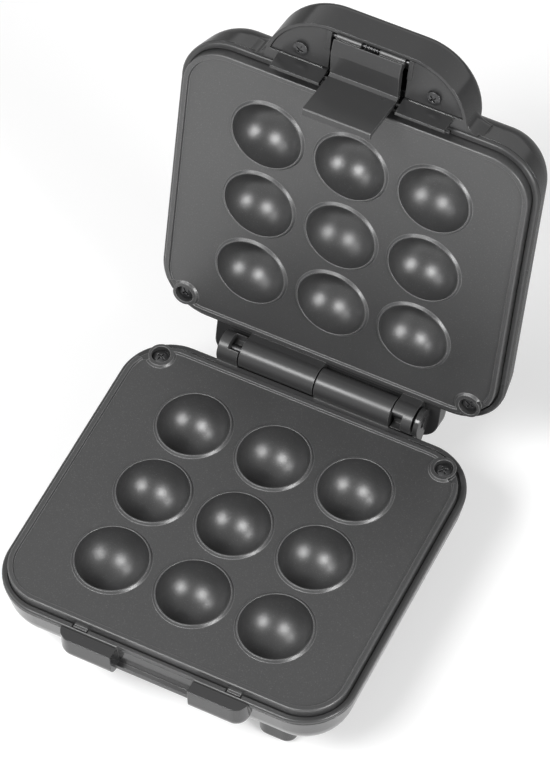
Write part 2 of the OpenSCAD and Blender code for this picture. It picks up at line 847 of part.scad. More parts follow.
module lid_shell() {
    color(gloss_black)
        in_lid()
            difference() {
                union() {
                    difference() {
                        union() {
                            bowl(0, lid_wall_h, shell_top);
                            handle(0, deck_z);
                            handle_flows();
                            hump(0);
                        }
                        bowl(wall, lid_wall_h, 0);
                        intersection() {
                            handle(wall, 0);
                            box([-100, handle_y0, -60], [100, cover_y1, 20]);
                        }
                        intersection() {
                            hump(wall);
                            box([-100, rim_y1, -60], [100, 40, 20]);
                        }
                    }
                    for (s = [-1, 1]) {
                        at(s * cover_screw_x, cover_screw_y, -handle_h + 1)
                            cylinder(h = handle_h - 1 + cover_z - cover_t - fit_gap, r = boss_r);
                        for (y = case_screw_ys)
                            case_tube(s, y, lid_wall_h, shelf_low - fit_gap, boss_r);
                        handle_rib(s);
                    }
                    // Floor of the hump, behind the barrels
                    intersection() {
                        hump(wall / 2);
                        box([-100, rim_y1 - wall, shell_top - wall], [100, 40, shell_top]);
                    }
                }
                hinge_cut();
                box([-rim_w, rim_y0 - fit_gap, shell_top], [rim_w, 40, 20]);
                // Room for the latch
                box([-clip_ear_x - ear_w - 0.2, handle_y0 + wall + 0.2, -well_z - ear_w - 0.2],
                    [clip_ear_x + ear_w + 0.2, cover_y1 + 0.5, 20]);
                box([-clip_ear_x + 0.2, handle_y0 + wall + 0.2, -12],
                    [clip_ear_x - 0.2, rim_y0 - 2.4, 20]);
                for (s = [-1, 1]) {
                    at(s * cover_screw_x, cover_screw_y, -22)
                        cylinder(h = 22, r = screw_r - 0.3 + thread_gap);
                    for (y = case_screw_ys)
                        at(s * case_screw_x, y, shelf_low - 16)
                            cylinder(h = 20, r = screw_r + thread_gap);
                }
                for (s = [-1, 1])
                    at(s * lamp_x, lamp_y, lid_low - 1)
                        cylinder(h = 10, r = lamp_r + 0.1);
            }
}

// Rib beside the latch that stands up towards the base
module handle_rib(s) {
    x0 = clip_ear_x - 0.8;
    x1 = 47.3;
    rotate([90, 0, 90])
        translate([0, 0, s > 0 ? x0 : -x1])
            linear_extrude(x1 - x0)
                polygon([[rim_y0 - 6.6, deck_z - 2], [rim_y0 - 6.6, deck_z], [rim_y0 - 4.7, handle_rib_h],
                    [rim_y0 - 3.1, handle_rib_h], [rim_y0 - 3.1, deck_z - 2]]);
}

// Stands the drawn half over the base and swings it to where the lid rests
module in_lid() {
    translate([0, 0, -hinge_drop])
        rotate([-open_angle, 0, 0])
            translate([0, 0, hinge_drop + shut_gap])
                rotate([0, 180, 0])
                    children();
}

// For the latch, whose sizes are those of the shut lid
module on_lid() {
    translate([0, 0, -hinge_drop])
        rotate([-open_angle, 0, 0])
            translate([0, 0, hinge_drop + shut_gap])
                children();
}

module lid_frame() {
    color(satin_black)
        in_lid()
            half_frame(hinge_in_lid, false);
}

module upper_plate() {
    color(coated)
        in_lid()
            half_plate();
}

module thermal_fuse() {
    x = shelf_open_w / 2 - 6;
    y = cup_ys[0] + pitch_y / 2;
    top = -lip_h - plate_sheet - fit_gap;
    color(ceramic)
        in_lid() {
            at(x, y + 9, top - 2.2)
                rotate([90, 0, 0])
                    cylinder(h = 18, r = 2.2);
            at(x, y + 16, top - 2.2)
                rotate([90, 0, 0])
                    cylinder(h = 32, r = 0.6);
        }
}

module lid_case_screws() {
    color(steel)
        in_lid()
            for (s = [-1, 1], y = case_screw_ys)
                screw(s * case_screw_x, y, shelf_top, case_screw_long);
}

module lamp(s) {
    in_lid()
        at(s * lamp_x, lamp_y, lid_low)
            rotate_extrude()
                polygon([[0, -0.9], [lamp_r - 0.9, -0.7], [lamp_r, 0], [lamp_r, wall],
                    [lamp_r + 1, wall + 0.1], [lamp_r + 1, wall + 1.1], [lamp_r - 0.6, wall + 1.1],
                    [lamp_r - 0.6, wall + 5], [0, wall + 5]]);
}

module power_lamp() {
    color("red")
        lamp(-1);
}

module ready_lamp() {
    color("green")
        lamp(1);
}

// Cover under the handle, with the two ears that hold the latch pin
module handle_cover() {
    t = wall + fit_gap;
    color(gloss_black)
        in_lid()
            difference() {
                union() {
                    intersection() {
                        translate([0, handle_yc, cover_z - cover_t])
                            linear_extrude(cover_t)
                                rounded(handle_w - 2 * t, 2 * (handle_r - t), handle_r - t);
                        box([-100, handle_y0, -60], [100, cover_y1 - fit_gap, 20]);
                    }
                    // Well that the latch hinges in
                    box([-clip_ear_x - ear_w, pin_y - 3.4, -well_z - ear_w],
                        [clip_ear_x + ear_w, pin_y + 8, cover_z + 0.8]);
                }
                box([-clip_ear_x, handle_y0, -well_z], [clip_ear_x, rim_y0, 20]);
                along_x(-40, 40, pin_y, -pin_z, latch_pin_r + thread_gap);
                for (s = [-1, 1])
                    at(s * cover_screw_x, cover_screw_y, -20)
                        cylinder(h = 40, r = screw_r);
            }
}

module handle_cover_screws() {
    color(steel)
        in_lid()
            for (s = [-1, 1])
                translate([s * cover_screw_x, cover_screw_y, cover_z]) {
                    difference() {
                        cylinder(h = head_h, r1 = head_r + 0.2, r2 = head_r - 0.6);
                        for (a = [0, 90])
                            rotate([0, 0, a])
                                translate([0, 0, head_h])
                                    cube([head_r, head_slot_w, 2 * head_slot_depth], center = true);
                    }
                    translate([0, 0, -12])
                        cylinder(h = cover_screw_long + eps, r = screw_r - 0.3);
                }
}

module latch_pin() {
    color(steel)
        on_lid()
            along_x(-clip_ear_x - ear_w, clip_ear_x + ear_w, pin_y, pin_z, latch_pin_r);
}

// Latch clip: a grip that lies under the handle and a leg that hooks the base
module latch_clip() {
    leg_y0 = clip_corner[0] - 0.3;
    leg_y1 = leg_y0 + clip_t;
    grip_top = pin_z - 2.2;
    color(satin_black)
        on_lid()
            difference() {
                union() {
                    translate([-clip_w / 2, 0, 0])
                        rotate([90, 0, 90])
                            linear_extrude(clip_w)
                                polygon([[clip_front, 3], clip_crease,
                                    [clip_corner[0] - 1.6, clip_corner[1] - 0.3],
                                    [leg_y0, clip_corner[1] - 1.9], [leg_y0, clip_low + 0.6],
                                    [leg_y0 + 0.6, clip_low], [tooth_y, clip_low + 0.2],
                                    [tooth_y, clip_low + tooth_h],
                                    [leg_y1, clip_low + tooth_h + 0.2], [leg_y1, grip_top],
                                    [pin_y + 4, grip_top - 1], [pin_y, pin_z],
                                    [clip_front + 1.6, grip_top - 1]]);
                    along_x(-clip_w / 2, clip_w / 2, pin_y, pin_z, knuckle_r);
                }
                along_x(-40, 40, pin_y, pin_z, latch_pin_r + pin_clear);
                // Room for the spring
                box([-knuckle_gap / 2, pin_y - 4, grip_top - 1.6],
                    [knuckle_gap / 2, pin_y + 6, pin_z + 5]);
            }
}

// Torsion spring around the latch pin, swept along a helix
module latch_spring() {
    r = latch_pin_r + 0.25 + spring_wire;
    pitch = min((knuckle_gap - 2) / spring_turns, 1.6);
    steps = 10 * spring_turns;
    sides = 6;
    function at_step(i) = [(i / steps - 0.5) * pitch * spring_turns,
        pin_y + r * cos(360 * i / 10), pin_z + r * sin(360 * i / 10)];
    // Both ends run straight up to the roof of the well
    end = [0, 0, well_z - pin_z - spring_wire - eps];
    path = concat([at_step(0) + end], [for (i = [0 : steps]) at_step(i)],
        [at_step(steps) + end]);
    color(steel)
        on_lid()
            tube(path, spring_wire, sides);
}

function unit(v) = v / norm(v);

// Tube through a list of points. Each ring lies square to the path.
module tube(path, r, sides) {
    n = len(path);
    rings = [for (i = [0 : n - 1])
        let (t = unit(path[min(i + 1, n - 1)] - path[max(i - 1, 0)]),
            a = unit(cross(t, [1, 0.01, 0.02])),
            b = cross(t, a))
        [for (k = [0 : sides - 1]) path[i] + r * (a * cos(360 * k / sides) + b * sin(360 * k / sides))]];
    points = [for (ring = rings, p = ring) p];
    faces = concat([[for (k = [0 : sides - 1]) sides - 1 - k]],
        [for (i = [0 : n - 2], k = [0 : sides - 1])
            let (k2 = (k + 1) % sides)
            each [[i * sides + k, i * sides + k2, (i + 1) * sides + k2],
                [i * sides + k, (i + 1) * sides + k2, (i + 1) * sides + k]]],
        [[for (k = [0 : sides - 1]) (n - 1) * sides + k]]);
    polyhedron(points, faces);
}

// From the hinge axis to the middle of the footprint, standing on the table
module placed() {
    translate([0, -mid_y, table_to_plates])
        children();
}

placed() base_shell();
placed() base_frame();
placed() lower_plate();
placed() plate_screw_set();  // lower_plate_screws
placed() half_heater();  // lower_heater
placed() half_shield();  // lower_heat_shield
placed() thermostat();
placed() terminal_block();
placed() cord_inlet();
placed() base_case_screws();
placed() rubber_feet();
placed() hinge_pin();
placed() lid_shell();
placed() lid_frame();
placed() upper_plate();
placed() in_lid() plate_screw_set();  // upper_plate_screws
placed() in_lid() half_heater();  // upper_heater
placed() in_lid() half_shield();  // upper_heat_shield
placed() thermal_fuse();
placed() lid_case_screws();
placed() power_lamp();
placed() ready_lamp();
placed() handle_cover();
placed() handle_cover_screws();
placed() latch_pin();
placed() latch_spring();
placed() latch_clip();
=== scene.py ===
import json
import math

import bmesh
import bpy
from mathutils import Matrix, Vector


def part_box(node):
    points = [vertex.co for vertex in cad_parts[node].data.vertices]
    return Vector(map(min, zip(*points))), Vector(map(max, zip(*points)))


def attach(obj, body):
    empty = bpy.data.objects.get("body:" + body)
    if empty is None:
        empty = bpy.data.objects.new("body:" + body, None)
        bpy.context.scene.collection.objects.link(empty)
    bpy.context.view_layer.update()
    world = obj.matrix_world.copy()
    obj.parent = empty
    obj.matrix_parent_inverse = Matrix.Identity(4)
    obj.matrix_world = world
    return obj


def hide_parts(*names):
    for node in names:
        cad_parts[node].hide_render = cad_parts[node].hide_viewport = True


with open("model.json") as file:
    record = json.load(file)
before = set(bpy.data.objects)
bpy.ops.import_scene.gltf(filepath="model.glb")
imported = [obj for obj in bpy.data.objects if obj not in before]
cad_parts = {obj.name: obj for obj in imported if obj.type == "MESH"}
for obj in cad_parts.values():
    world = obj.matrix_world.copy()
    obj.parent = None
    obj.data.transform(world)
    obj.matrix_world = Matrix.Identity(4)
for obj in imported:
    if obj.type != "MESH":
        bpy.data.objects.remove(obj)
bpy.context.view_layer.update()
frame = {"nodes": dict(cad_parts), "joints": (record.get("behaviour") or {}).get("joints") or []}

nodes = frame["nodes"]
joints = {joint["name"]: joint for joint in frame["joints"]}

# Camera
# It looks down on the open maker from the front right, from a little over two metres away
# through a long lens, so the plates keep nearly the same width front to back.
look_at = Vector((-0.0086, 0.02216, 0.1))
look_from_azimuth = math.radians(27.963)
look_from_height = math.radians(55.528)
camera_distance = 2.17225
camera_roll = math.radians(-1.803)
long_lens = 201.39
film_width = 36.0
nearest_seen = 0.1
furthest_seen = 20.0

towards_camera = Vector((
    math.sin(look_from_azimuth) * math.cos(look_from_height),
    -math.cos(look_from_azimuth) * math.cos(look_from_height),
    math.sin(look_from_height)))
camera_data = bpy.data.cameras.new("camera")
camera_data.lens = long_lens
camera_data.sensor_width = film_width
camera_data.clip_start = nearest_seen
camera_data.clip_end = furthest_seen
camera = bpy.data.objects.new("camera", camera_data)
bpy.context.scene.collection.objects.link(camera)
camera.location = look_at + camera_distance * towards_camera
aimed = (-towards_camera).to_track_quat("-Z", "Y").to_matrix()
camera.rotation_euler = (aimed @ Matrix.Rotation(camera_roll, 3, "Z")).to_euler()
bpy.context.scene.camera = camera
bpy.context.scene.view_settings.view_transform = "Standard"

# Table
# A white sheet on a plain top. Where the camera or a reflection sees it, it glows a little
# so that it meets the white surroundings, and it keeps the soft shadow of the maker. In
# reflections only, its colour is darkened towards the back right, a painted shade there.
floor_half = 6.0
floor_white = 0.8
floor_glow = 0.265
# Past this direction the table's colour in reflections is darkened: painted shade in reflections
reflection_shade_towards = (0.6, 0.8, 0.0)
reflection_shade_from = 0.0
reflection_shade_to = 0.2
painted_reflection_shade = 0.3


def new_material(name):
    material = bpy.data.materials.new(name)
    material.use_nodes = True
    tree = material.node_tree
    tree.nodes.clear()
    return material, tree.nodes, tree.links


def seen_directly(n, link):
    """One where the camera, a mirror or glass sees the surface, and nought for soft light."""
    path = n.new("ShaderNodeLightPath")
    first = n.new("ShaderNodeMath")
    first.operation = "MAXIMUM"
    link.new(path.outputs["Is Camera Ray"], first.inputs[0])
    link.new(path.outputs["Is Glossy Ray"], first.inputs[1])
    second = n.new("ShaderNodeMath")
    second.operation = "MAXIMUM"
    link.new(first.outputs[0], second.inputs[0])
    link.new(path.outputs["Is Transmission Ray"], second.inputs[1])
    return second.outputs[0]


def scaled(n, link, value, by):
    node = n.new("ShaderNodeMath")
    node.operation = "MULTIPLY"
    node.inputs[1].default_value = by
    link.new(value, node.inputs[0])
    return node.outputs[0]


def table_material():
    material, n, link = new_material("white_table")
    out = n.new("ShaderNodeOutputMaterial")
    path = n.new("ShaderNodeLightPath")
    place = n.new("ShaderNodeTexCoord")
    along = n.new("ShaderNodeVectorMath")
    along.operation = "DOT_PRODUCT"
    along.inputs[1].default_value = reflection_shade_towards
    link.new(place.outputs["Object"], along.inputs[0])
    fall = n.new("ShaderNodeMapRange")
    fall.interpolation_type = "SMOOTHSTEP"
    fall.inputs["From Min"].default_value = reflection_shade_from
    fall.inputs["From Max"].default_value = reflection_shade_to
    fall.inputs["To Min"].default_value = 1.0
    fall.inputs["To Max"].default_value = painted_reflection_shade
    link.new(along.outputs["Value"], fall.inputs["Value"])
    # Glossy rays see the table darker towards the back right, a painted shade in reflections
    shade = n.new("ShaderNodeMix")
    link.new(path.outputs["Is Glossy Ray"], shade.inputs["Factor"])
    shade.inputs["A"].default_value = 1.0
    link.new(fall.outputs["Result"], shade.inputs["B"])
    top = n.new("ShaderNodeBsdfDiffuse")
    link.new(scaled(n, link, shade.outputs["Result"], floor_white), top.inputs["Color"])
    glow = n.new("ShaderNodeEmission")
    glow.inputs["Color"].default_value = (1, 1, 1, 1)
    link.new(scaled(n, link, shade.outputs["Result"], floor_glow), glow.inputs["Strength"])
    both = n.new("ShaderNodeAddShader")
    pick = n.new("ShaderNodeMixShader")
    link.new(top.outputs[0], both.inputs[0])
    link.new(glow.outputs[0], both.inputs[1])
    link.new(seen_directly(n, link), pick.inputs[0])
    link.new(top.outputs[0], pick.inputs[1])
    link.new(both.outputs[0], pick.inputs[2])
    link.new(pick.outputs[0], out.inputs["Surface"])
    return material


table_mesh = bpy.data.meshes.new("table")
table_mesh.from_pydata(
    [(-floor_half, -floor_half, 0), (floor_half, -floor_half, 0),
     (floor_half, floor_half, 0), (-floor_half, floor_half, 0)], [], [(0, 1, 2, 3)])
table = bpy.data.objects.new("table", table_mesh)
table.data.materials.append(table_material())
bpy.context.scene.collection.objects.link(table)

# Light
# A white room, a little brighter low down than overhead, with three soft boxes: one low on
# the right, one in front on the left and a weaker one far left.
room_strength = 0.26
room_low = 0.78
room_overhead = 0.6
low_until = 0.05
overhead_from = 0.6
maker_middle = Vector((0, 0, 0.1))

world = bpy.data.worlds.new("white_room")
world.use_nodes = True
bpy.context.scene.world = world
world_nodes = world.node_tree.nodes
world_links = world.node_tree.links
world_nodes.clear()
world_out = world_nodes.new("ShaderNodeOutputWorld")
room_light = world_nodes.new("ShaderNodeBackground")
room_light.inputs["Color"].default_value = (1, 1, 1, 1)
room_light.inputs["Strength"].default_value = room_strength
room_seen = world_nodes.new("ShaderNodeBackground")
room_seen.inputs["Color"].default_value = (1, 1, 1, 1)
direction = world_nodes.new("ShaderNodeTexCoord")
heights = world_nodes.new("ShaderNodeSeparateXYZ")
world_links.new(direction.outputs["Generated"], heights.inputs[0])
fall = world_nodes.new("ShaderNodeMapRange")
fall.interpolation_type = "SMOOTHSTEP"
fall.inputs["From Min"].default_value = low_until
fall.inputs["From Max"].default_value = overhead_from
fall.inputs["To Min"].default_value = room_low
fall.inputs["To Max"].default_value = room_overhead
world_links.new(heights.outputs["Z"], fall.inputs["Value"])
world_links.new(fall.outputs["Result"], room_seen.inputs["Strength"])
room_pick = world_nodes.new("ShaderNodeMixShader")
world_links.new(seen_directly(world_nodes, world_links), room_pick.inputs[0])
world_links.new(room_light.outputs[0], room_pick.inputs[1])
world_links.new(room_seen.outputs[0], room_pick.inputs[2])
world_links.new(room_pick.outputs[0], world_out.inputs["Surface"])


def soft_box(name, azimuth, height, distance, size, watts):
    """A lamp aimed at the maker; azimuth runs from the front towards the right."""
    a, h = math.radians(azimuth), math.radians(height)
    data = bpy.data.lights.new(name, "AREA")
    data.shape = "RECTANGLE"
    data.size, data.size_y = size
    data.energy = watts
    lamp = bpy.data.objects.new(name, data)
    lamp.location = maker_middle + distance * Vector(
        (math.sin(a) * math.cos(h), -math.cos(a) * math.cos(h), math.sin(h)))
    lamp.rotation_euler = (maker_middle - lamp.location).to_track_quat("-Z", "Y").to_euler()
    bpy.context.scene.collection.objects.link(lamp)


soft_box("right_box", azimuth=70, height=28, distance=1.8, size=(0.68, 0.68), watts=24)
soft_box("front_box", azimuth=-21, height=54, distance=1.8, size=(0.7, 0.62), watts=23)
soft_box("left_box", azimuth=-73, height=45, distance=1.9, size=(0.6, 0.5), watts=8)

# Base casing
# One glossy black moulding: a bowl with leaning walls, four short legs under it and a
# bulged front with the latch recess. The tool was polished, so the skin is smooth with a
# faint ripple, and its edges are broken by a small radius.
bevel_samples = 6
edge_band_scale = 140.0
edge_band_least = 0.5
edge_band_spread = 0.9
patches_from = 0.35
patches_to = 0.65
fleck_threshold = 0.75
fleck_reach = 0.5
fleck_full = 0.8
edge_sharpness = 6.0
hand_patch = 0.05


def group_tree(name, inputs, outputs):
    """Starts a shader group with named sockets and returns its tree, input and output nodes."""
    tree = bpy.data.node_groups.new(name, "ShaderNodeTree")
    for label, kind, value in inputs:
        socket = tree.interface.new_socket(label, in_out="INPUT", socket_type=kind)
        socket.default_value = value
    for label, kind in outputs:
        tree.interface.new_socket(label, in_out="OUTPUT", socket_type=kind)
    return tree, tree.nodes.new("NodeGroupInput"), tree.nodes.new("NodeGroupOutput")


def math_node(tree, operation, a, b=None, clamp=False):
    node = tree.nodes.new("ShaderNodeMath")
    node.operation = operation
    node.use_clamp = clamp
    for socket, value in zip(node.inputs, (a, b)):
        if value is None:
            continue
        if isinstance(value, (int, float)):
            socket.default_value = value
        else:
            tree.links.new(value, socket)
    return node.outputs[0]


def object_place(tree):
    return tree.nodes.new("ShaderNodeTexCoord").outputs["Object"]


def noise(tree, size, detail):
    """Noise whose features have the given size, which is a group's input, in metres."""
    texture = tree.nodes.new("ShaderNodeTexNoise")
    texture.inputs["Detail"].default_value = detail
    tree.links.new(object_place(tree), texture.inputs["Vector"])
    tree.links.new(math_node(tree, "DIVIDE", 1.0, size), texture.inputs["Scale"])
    return texture.outputs["Fac"]


def make_moulded_grain():
    """Height of a moulded or sprayed surface: fine grain over a slow ripple."""
    tree, given, result = group_tree(
        "moulded_grain",
        [("Grain Size", "NodeSocketFloat", 0.0004), ("Ripple Size", "NodeSocketFloat", 0.012),
         ("Ripple Share", "NodeSocketFloat", 0.3)],
        [("Height", "NodeSocketFloat")])
    blend = tree.nodes.new("ShaderNodeMix")
    tree.links.new(given.outputs["Ripple Share"], blend.inputs["Factor"])
    tree.links.new(noise(tree, given.outputs["Grain Size"], 2.0), blend.inputs["A"])
    tree.links.new(noise(tree, given.outputs["Ripple Size"], 1.0), blend.inputs["B"])
    tree.links.new(blend.outputs["Result"], result.inputs["Height"])
    return tree


def make_edge_wear_and_highlight():
    """Mask of the edges that hands and plates rub, also used for painted highlight lines, and
    the normal of the broken edge.
    """
    tree, given, result = group_tree(
        "edge_wear",
        [("Radius", "NodeSocketFloat", 0.0006),
         ("Sharpness", "NodeSocketFloat", edge_sharpness)],
        [("Mask", "NodeSocketFloat"), ("Normal", "NodeSocketVector")])
    rounded = tree.nodes.new("ShaderNodeBevel")
    rounded.samples = bevel_samples
    tree.links.new(given.outputs["Radius"], rounded.inputs["Radius"])
    geometry = tree.nodes.new("ShaderNodeNewGeometry")
    facing = tree.nodes.new("ShaderNodeVectorMath")
    facing.operation = "DOT_PRODUCT"
    tree.links.new(rounded.outputs["Normal"], facing.inputs[0])
    tree.links.new(geometry.outputs["Normal"], facing.inputs[1])
    # The lightened band from this mask is partly wear and partly a painted highlight along edges
    bent = math_node(tree, "SUBTRACT", 1.0, facing.outputs["Value"], clamp=True)
    worn_or_lit = math_node(tree, "MULTIPLY", bent, given.outputs["Sharpness"], clamp=True)
    edge_band_noise = tree.nodes.new("ShaderNodeTexNoise")
    edge_band_noise.inputs["Scale"].default_value = edge_band_scale
    tree.links.new(object_place(tree), edge_band_noise.inputs["Vector"])
    patchy = math_node(
        tree, "ADD", edge_band_least, math_node(tree, "MULTIPLY", edge_band_noise.outputs["Fac"], edge_band_spread))
    tree.links.new(math_node(tree, "MULTIPLY", worn_or_lit, patchy, clamp=True), result.inputs["Mask"])
    tree.links.new(rounded.outputs["Normal"], result.inputs["Normal"])
    return tree


def make_handling_marks():
    """Slow patches of grease that dull a surface where it is touched."""
    tree, given, result = group_tree(
        "handling_marks",
        [("Patch Size", "NodeSocketFloat", hand_patch), ("Low", "NodeSocketFloat", 0.1),
         ("High", "NodeSocketFloat", 0.2)],
        [("Roughness", "NodeSocketFloat"), ("Patches", "NodeSocketFloat")])
    patches = noise(tree, given.outputs["Patch Size"], 5.0)
    spread = tree.nodes.new("ShaderNodeMapRange")
    spread.inputs["From Min"].default_value = patches_from
    spread.inputs["From Max"].default_value = patches_to
    tree.links.new(patches, spread.inputs["Value"])
    tree.links.new(given.outputs["Low"], spread.inputs["To Min"])
    tree.links.new(given.outputs["High"], spread.inputs["To Max"])
    tree.links.new(spread.outputs["Result"], result.inputs["Roughness"])
    tree.links.new(patches, result.inputs["Patches"])
    return tree


def make_flecks():
    """Mask of light specks, such as pigment in a coating or dust on black plastic."""
    tree, given, result = group_tree(
        "light_flecks",
        [("Fleck Size", "NodeSocketFloat", 0.0004), ("Cover", "NodeSocketFloat", 0.3)],
        [("Mask", "NodeSocketFloat")])
    specks = noise(tree, given.outputs["Fleck Size"], 1.0)
    spread = tree.nodes.new("ShaderNodeMapRange")
    lowered = math_node(tree, "MULTIPLY", given.outputs["Cover"], fleck_reach)
    tree.links.new(math_node(tree, "SUBTRACT", fleck_threshold, lowered),
                   spread.inputs["From Min"])
    spread.inputs["From Max"].default_value = fleck_full
    tree.links.new(specks, spread.inputs["Value"])
    tree.links.new(spread.outputs["Result"], result.inputs["Mask"])
    return tree


moulded_grain = make_moulded_grain()
edge_wear = make_edge_wear_and_highlight()
handling_marks = make_handling_marks()
light_flecks = make_flecks()


def placed_group(n, group, **values):
    node = n.new("ShaderNodeGroup")
    node.node_tree = group
    for label, value in values.items():
        node.inputs[label.replace("_", " ")].default_value = value
    return node


def mixed_colour(n, link, factor, below, above):
    """Mixes two colours; below may be a socket or a colour."""
    tint = n.new("ShaderNodeMix")
    tint.data_type = "RGBA"
    link.new(factor, tint.inputs["Factor"])
    if isinstance(below, tuple):
        tint.inputs["A"].default_value = (*below, 1)
    else:
        link.new(below, tint.inputs["A"])
    tint.inputs["B"].default_value = (*above, 1)
    return tint.outputs["Result"]


def surface(name, colour, worn_or_lit_colour, dull, grain, grain_height, edge, fleck_colour, fleck,
            fleck_share=0.5, metal=0.0, wear_and_highlight=0.35, gloss=1.5):
    """A finish whose grain, handling, flecks and edges come from the shared groups.

    dull is the range of roughness. grain is the grain size, the ripple size and the share
    of the ripple. edge is the radius of the broken edges, whose colour is lightened both for
    wear and as a painted highlight. fleck is the size of the flecks and how much they cover.
    Lengths are in metres.
    """
    material, n, link = new_material(name)
    out = n.new("ShaderNodeOutputMaterial")
    shader = n.new("ShaderNodeBsdfPrincipled")
    shader.inputs["Metallic"].default_value = metal
    shader.inputs["IOR"].default_value = gloss
    marks = placed_group(n, handling_marks, Patch_Size=hand_patch, Low=dull[0], High=dull[1])
    height = placed_group(n, moulded_grain, Grain_Size=grain[0], Ripple_Size=grain[1],
                          Ripple_Share=grain[2])
    rubbed_or_lit = placed_group(n, edge_wear, Radius=edge, Sharpness=edge_sharpness)
    flecks = placed_group(n, light_flecks, Fleck_Size=fleck[0], Cover=fleck[1])
    bump = n.new("ShaderNodeBump")
    bump.inputs["Distance"].default_value = grain_height
    link.new(height.outputs["Height"], bump.inputs["Height"])
    link.new(rubbed_or_lit.outputs["Normal"], bump.inputs["Normal"])
    flecked = mixed_colour(n, link, scaled(n, link, flecks.outputs["Mask"], fleck_share),
                           colour, fleck_colour)
    # Edges are mixed towards the lighter colour: wear, and on the plates and frames a painted
    # highlight
    link.new(mixed_colour(n, link, scaled(n, link, rubbed_or_lit.outputs["Mask"], wear_and_highlight),
                          flecked, worn_or_lit_colour), shader.inputs["Base Color"])
    link.new(marks.outputs["Roughness"], shader.inputs["Roughness"])
    link.new(bump.outputs["Normal"], shader.inputs["Normal"])
    link.new(shader.outputs[0], out.inputs["Surface"])
    return material


def paint(node_name, material):
    piece = nodes[node_name]
    piece.data.materials.clear()
    piece.data.materials.append(material)


polished_black = surface(
    "polished_black_moulding", colour=(0.034, 0.034, 0.0345), worn_or_lit_colour=(0.07, 0.07, 0.07),
    dull=(0.12, 0.19), grain=(0.0009, 0.02, 0.9), grain_height=0.00004, edge=0.0007,
    fleck_colour=(0.12, 0.12, 0.12), fleck=(0.0006, 0.05))
paint("base_shell", polished_black)

# Rubber feet
# Four round feet of soft black rubber, pushed into the hollow ends of the legs. Each has
# two shallow rings moulded in its underside so that it grips a worktop.
foot_low, foot_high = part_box("rubber_feet")
foot_radius = 0.007
foot_ring_count = 2
foot_ring_step = 0.0018
foot_ring_depth = 0.0004
ring_slope = 0.0003
foot_flat_in = 0.0012
foot_low_edge = (0.0007, 0.0003)
foot_side_in = (0.0002, 0.001)
foot_high_edge = (0.0003, 0.0002)
foot_top_in = 0.0006
turned_steps = 48
weld = 0.000002
sliver = 0.000001
moulding_smooth_angle = 35


def turned(profile):
    """A solid turned about Z from points (radius, height), listed up the outside."""
    ring_count = len(profile)
    points, faces = [], []
    for i in range(turned_steps):
        angle = math.tau * i / turned_steps
        for radius, height in profile:
            points.append((radius * math.cos(angle), radius * math.sin(angle), height))
    for i in range(turned_steps):
        j = (i + 1) % turned_steps
        for k in range(ring_count - 1):
            faces.append((i * ring_count + k, j * ring_count + k,
                          j * ring_count + k + 1, i * ring_count + k + 1))
    return points, faces


def new_piece(name, parts, material):
    """One mesh piece from (points, faces, matrix) parts, merged, closed and facing outwards."""
    mesh = bpy.data.meshes.new(name)
    piece = bpy.data.objects.new(name, mesh)
    bpy.context.scene.collection.objects.link(piece)
    shape = bmesh.new()
    for points, faces, place in parts:
        made = [shape.verts.new(place @ Vector(p)) for p in points]
        for face in faces:
            shape.faces.new([made[i] for i in face])
    bmesh.ops.remove_doubles(shape, verts=shape.verts, dist=weld)
    bmesh.ops.dissolve_degenerate(shape, edges=shape.edges, dist=sliver)
    bmesh.ops.recalc_face_normals(shape, faces=shape.faces)
    shape.to_mesh(mesh)
    shape.free()
    mesh.materials.append(material)
    mesh.shade_smooth()
    mesh.set_sharp_from_angle(angle=math.radians(moulding_smooth_angle))
    return piece


def foot_profile():
    """From the middle of the underside, over its rings, up the side to the middle of the top."""
    low, high = foot_low.z, foot_high.z
    points = [(0.0, low)]
    for i in range(foot_ring_count):
        inner = (i + 1) * foot_ring_step
        points += [(inner, low), (inner + ring_slope, low + foot_ring_depth),
                   (inner + 2 * ring_slope, low + foot_ring_depth),
                   (inner + 3 * ring_slope, low)]
    points += [(foot_radius - foot_flat_in, low),
               (foot_radius - foot_low_edge[0], low + foot_low_edge[1]),
               (foot_radius - foot_side_in[0], high - foot_side_in[1]),
               (foot_radius - foot_high_edge[0], high - foot_high_edge[1]),
               (foot_radius - foot_top_in, high), (0.0, high)]
    return points


soft_rubber = surface(
    "soft_black_rubber", colour=(0.028, 0.028, 0.028), worn_or_lit_colour=(0.09, 0.09, 0.088),
    dull=(0.6, 0.75), grain=(0.0003, 0.006, 0.3), grain_height=0.00004, edge=0.0004,
    fleck_colour=(0.14, 0.135, 0.13), fleck=(0.0005, 0.2))
foot_places = [Matrix.Translation((x, y, 0))
               for x in (foot_low.x + foot_radius, foot_high.x - foot_radius)
               for y in (foot_low.y + foot_radius, foot_high.y - foot_radius)]
feet = new_piece("grip_feet", [(*turned(foot_profile()), place) for place in foot_places],
                 soft_rubber)
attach(feet, "base")
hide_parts("rubber_feet")

# Cord bush
# A black rubber bush pressed into the rear wall, where the mains cord would come out. The
# face of its flange has eight small ribs, and nothing is threaded through it.
bush_low, bush_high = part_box("cord_inlet")
bush_middle = (bush_low + bush_high) / 2
bush_bore = 0.0033
bush_neck = 0.0051
bush_flange = (bush_high.x - bush_low.x) / 2
bush_face = 0.0022
bush_back_gap = 0.0002
bush_neck_edge = (0.0004, 0.0006)
bush_side_end = 0.0007
bush_rim_edge = (0.0002, 0.0003)
bush_rim_flat = (0.0006, 0.0001)
bush_mouth_flat = (0.0009, 0.0001)
bush_mouth_edge = (0.0003, 0.0004)
bush_mouth_deep = 0.0009
bush_rib_count = 8
bush_rib_half = 0.0006
bush_rib_taper = 0.6
bush_rib_ends = (0.0016, 0.0012)
bush_rib_heights = (-0.0008, 0.0)


